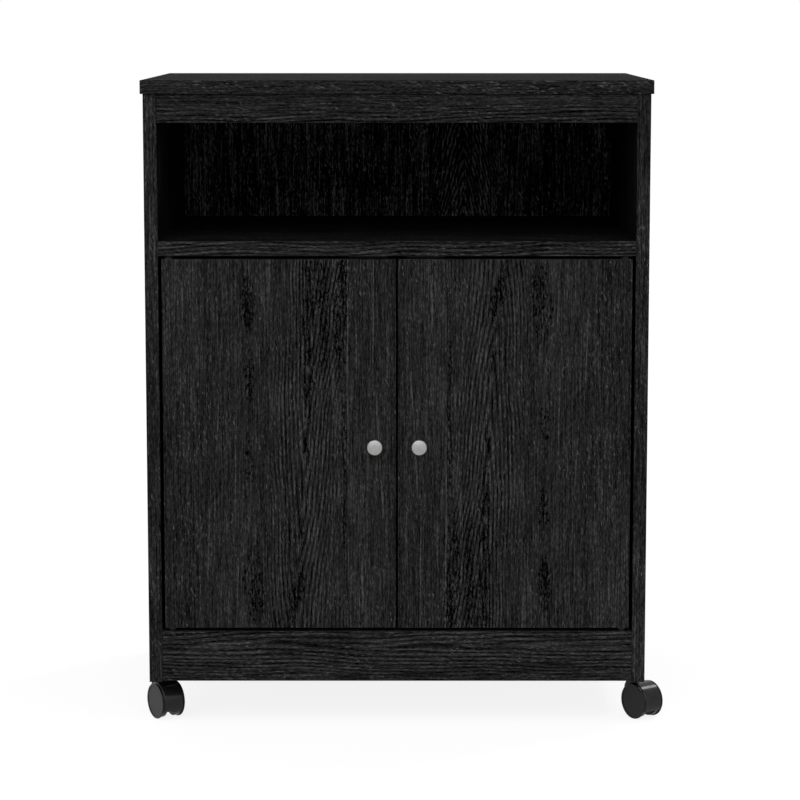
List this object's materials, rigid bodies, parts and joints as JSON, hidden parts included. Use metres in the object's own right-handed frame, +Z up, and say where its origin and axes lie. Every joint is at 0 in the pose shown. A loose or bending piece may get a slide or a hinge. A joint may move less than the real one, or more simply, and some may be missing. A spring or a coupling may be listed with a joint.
{
  "type": "microwave cart",
  "caption": "Rolling microwave cart: flat top, open niche, cabinet with paired hinged doors and round knobs, adjustable shelf inside, swivel twin-wheel casters.",
  "frame": {"origin": "on the floor, at the middle of the cart's overall box, which the knobs, the back and the casters bound", "axes": "+Z up, -Y to the front where the doors are, +X to the right as seen from the front"},
  "size_m": [0.6446, 0.413, 0.772],
  "materials": {
    "black_oak_laminate": "satin black-oak woodgrain laminate",
    "hardboard": "hardboard, its inner face printed as the laminate",
    "zinc_steel": "zinc-plated",
    "beech": "turned, fluted",
    "black_steel": "blackened",
    "magnet": "sintered ferrite",
    "satin_nickel": "satin nickel plating",
    "black_plastic": "moulded black nylon, semi-gloss"
  },
  "bodies": {
    "cart": {"top_panel": "black_oak_laminate", "left_side_panel": "black_oak_laminate", "right_side_panel": "black_oak_laminate", "niche_shelf": "black_oak_laminate", "bottom_board": "black_oak_laminate", "back_panel": "hardboard", "top_rail": "black_oak_laminate", "bottom_rail": "black_oak_laminate", "adjustable_shelf": "black_oak_laminate", "shelf_pins": "zinc_steel", "cam_locks": "zinc_steel", "cam_bolts": "zinc_steel", "dowels": "beech", "back_nails": "zinc_steel", "door_pivot_pins": "black_steel", "catch_housings": "black_plastic", "catch_magnets": "magnet", "catch_screws": "zinc_steel", "caster_sockets": "black_plastic"},
    "left_door": {"left_door": "black_oak_laminate", "left_door_bushes": "black_plastic", "left_knob": "satin_nickel", "left_knob_screw": "zinc_steel", "left_catch_plate": "black_steel", "left_plate_screw": "zinc_steel"},
    "right_door": {"right_door": "black_oak_laminate", "right_door_bushes": "black_plastic", "right_knob": "satin_nickel", "right_knob_screw": "zinc_steel", "right_catch_plate": "black_steel", "right_plate_screw": "zinc_steel"},
    "front_left_caster": {"front_left_hood": "black_plastic", "front_left_stem": "zinc_steel", "front_left_axle": "zinc_steel"},
    "front_right_caster": {"front_right_hood": "black_plastic", "front_right_stem": "zinc_steel", "front_right_axle": "zinc_steel"},
    "rear_left_caster": {"rear_left_hood": "black_plastic", "rear_left_stem": "zinc_steel", "rear_left_axle": "zinc_steel"},
    "rear_right_caster": {"rear_right_hood": "black_plastic", "rear_right_stem": "zinc_steel", "rear_right_axle": "zinc_steel"},
    "front_left_wheel_left": {"front_left_wheel_left": "black_plastic"},
    "front_left_wheel_right": {"front_left_wheel_right": "black_plastic"},
    "front_right_wheel_left": {"front_right_wheel_left": "black_plastic"},
    "front_right_wheel_right": {"front_right_wheel_right": "black_plastic"},
    "rear_left_wheel_left": {"rear_left_wheel_left": "black_plastic"},
    "rear_left_wheel_right": {"rear_left_wheel_right": "black_plastic"},
    "rear_right_wheel_left": {"rear_right_wheel_left": "black_plastic"},
    "rear_right_wheel_right": {"rear_right_wheel_right": "black_plastic"}
  },
  "joints": [
    {"name": "door_left_hinge", "type": "hinge", "parent": "cart", "child": "left_door", "pos_m": [-0.26915, -0.1765, 0.341], "axis": [0, 0, -1], "range_deg": [0, 105]},
    {"name": "door_right_hinge", "type": "hinge", "parent": "cart", "child": "right_door", "pos_m": [0.26915, -0.1765, 0.341], "axis": [0, 0, 1], "range_deg": [0, 105]},
    {"name": "swivel_front_left", "type": "hinge", "parent": "cart", "child": "front_left_caster", "pos_m": [-0.289, -0.1335, 0.053], "axis": [0, 0, 1], "continuous": true},
    {"name": "swivel_front_right", "type": "hinge", "parent": "cart", "child": "front_right_caster", "pos_m": [0.289, -0.1335, 0.053], "axis": [0, 0, 1], "continuous": true},
    {"name": "swivel_rear_left", "type": "hinge", "parent": "cart", "child": "rear_left_caster", "pos_m": [-0.289, 0.1535, 0.053], "axis": [0, 0, 1], "continuous": true},
    {"name": "swivel_rear_right", "type": "hinge", "parent": "cart", "child": "rear_right_caster", "pos_m": [0.289, 0.1535, 0.053], "axis": [0, 0, 1], "continuous": true},
    {"name": "wheel_front_left_left", "type": "hinge", "parent": "front_left_caster", "child": "front_left_wheel_left", "pos_m": [-0.29284, -0.15359, 0.0215], "axis": [0.848, 0.5299, 0], "continuous": true},
    {"name": "wheel_front_left_right", "type": "hinge", "parent": "front_left_caster", "child": "front_left_wheel_right", "pos_m": [-0.26926, -0.13886, 0.0215], "axis": [0.848, 0.5299, 0], "continuous": true},
    {"name": "wheel_front_right_left", "type": "hinge", "parent": "front_right_caster", "child": "front_right_wheel_left", "pos_m": [0.28657, -0.1538, 0.0215], "axis": [0.809, 0.5878, 0], "continuous": true},
    {"name": "wheel_front_right_right", "type": "hinge", "parent": "front_right_caster", "child": "front_right_wheel_right", "pos_m": [0.30906, -0.13747, 0.0215], "axis": [0.809, 0.5878, 0], "continuous": true},
    {"name": "wheel_rear_left_left", "type": "hinge", "parent": "rear_left_caster", "child": "rear_left_wheel_left", "pos_m": [-0.30906, 0.14954, 0.0215], "axis": [0.809, -0.5878, 0], "continuous": true},
    {"name": "wheel_rear_left_right", "type": "hinge", "parent": "rear_left_caster", "child": "rear_left_wheel_right", "pos_m": [-0.28657, 0.1332, 0.0215], "axis": [0.809, -0.5878, 0], "continuous": true},
    {"name": "wheel_rear_right_left", "type": "hinge", "parent": "rear_right_caster", "child": "rear_right_wheel_left", "pos_m": [0.28042, 0.13494, 0.0215], "axis": [0.9511, 0.309, 0], "continuous": true},
    {"name": "wheel_rear_right_right", "type": "hinge", "parent": "rear_right_caster", "child": "rear_right_wheel_right", "pos_m": [0.30685, 0.14353, 0.0215], "axis": [0.9511, 0.309, 0], "continuous": true}
  ]
}
